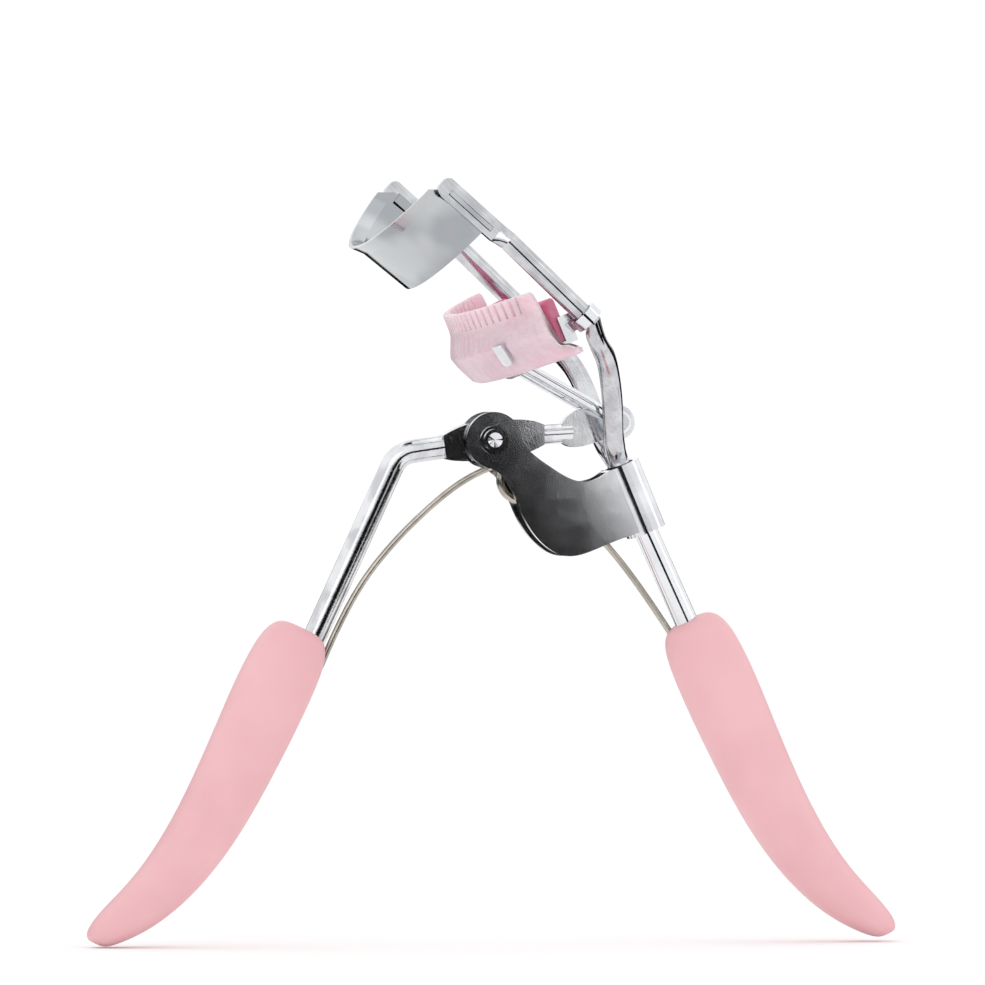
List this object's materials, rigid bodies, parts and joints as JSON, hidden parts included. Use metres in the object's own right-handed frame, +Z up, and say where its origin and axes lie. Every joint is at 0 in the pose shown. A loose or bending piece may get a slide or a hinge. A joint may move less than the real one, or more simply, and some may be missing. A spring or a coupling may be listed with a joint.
{
  "type": "eyelash curler",
  "caption": "Plier-style eyelash curler: squeezing the grips drives a padded clamp up its rails to press the lashes against a curved plate.",
  "frame": {"origin": "on the ground plane under the middle of the bounding box, where the two grip tips stand", "axes": "+X towards the fixed handle, +Y across the width of the lash gap, +Z up; the handles lie in the plane Y = 0"},
  "size_m": [0.1136, 0.0402, 0.105],
  "materials": {
    "chrome": "bright plated steel",
    "polished_plate": "mirror polished sheet",
    "spring_wire": "drawn spring wire",
    "soft_grip": "soft satin pink",
    "silicone": "deep pink silicone",
    "comb_plastic": "milky pale pink, slightly see-through"
  },
  "bodies": {
    "frame": {"bracket": "chrome", "fixed_handle_wire": "chrome", "fixed_grip": "soft_grip", "guide_arm_near": "chrome", "guide_arm_far": "chrome", "upper_plate": "polished_plate", "pivot_rivet": "chrome", "rivet_washer_near": "chrome", "rivet_washer_far": "chrome", "return_spring": "spring_wire"},
    "lever": {"moving_handle_lever": "chrome", "moving_grip": "soft_grip", "lever_end_pin": "chrome"},
    "push_rods": {"push_rod_near": "chrome", "push_rod_far": "chrome", "clamp_pin": "chrome"},
    "rail_loops": {"rail_loop_near": "chrome", "rail_loop_far": "chrome"},
    "lower_clamp": {"pad_channel": "chrome", "silicone_pad": "silicone", "lash_comb": "comb_plastic"}
  },
  "joints": [
    {"name": "lever_pivot", "type": "hinge", "parent": "frame", "child": "lever", "pos_m": [-0.00045, 0, 0.06925], "axis": [0, -1, 0], "range_deg": [0, 40], "stiffness_Nm_per_rad": 0.06, "springref_deg": -34.38, "deforming": ["return_spring"]},
    {"name": "rod_hinge", "type": "hinge", "parent": "lever", "child": "push_rods", "pos_m": [0.01725, 0, 0.07165], "axis": [0, -1, 0], "range_deg": [-27, 0]},
    {"name": "loop_slide", "type": "slide", "parent": "frame", "child": "rail_loops", "axis": [-0.7242, 0, 0.6896], "range_m": [0, 0.0142]},
    {"name": "clamp_tilt", "type": "hinge", "parent": "rail_loops", "child": "lower_clamp", "pos_m": [0.00915, 0, 0.08605], "axis": [0, -1, 0], "range_deg": [0, 26.5]}
  ],
  "couplings": [
    {"joint": "loop_slide", "follows": "lever_pivot", "m_per_rad": 0.020197},
    {"joint": "clamp_tilt", "follows": "lever_pivot", "ratio": 0.6575},
    {"joint": "rod_hinge", "follows": "lever_pivot", "ratio": -0.665}
  ]
}
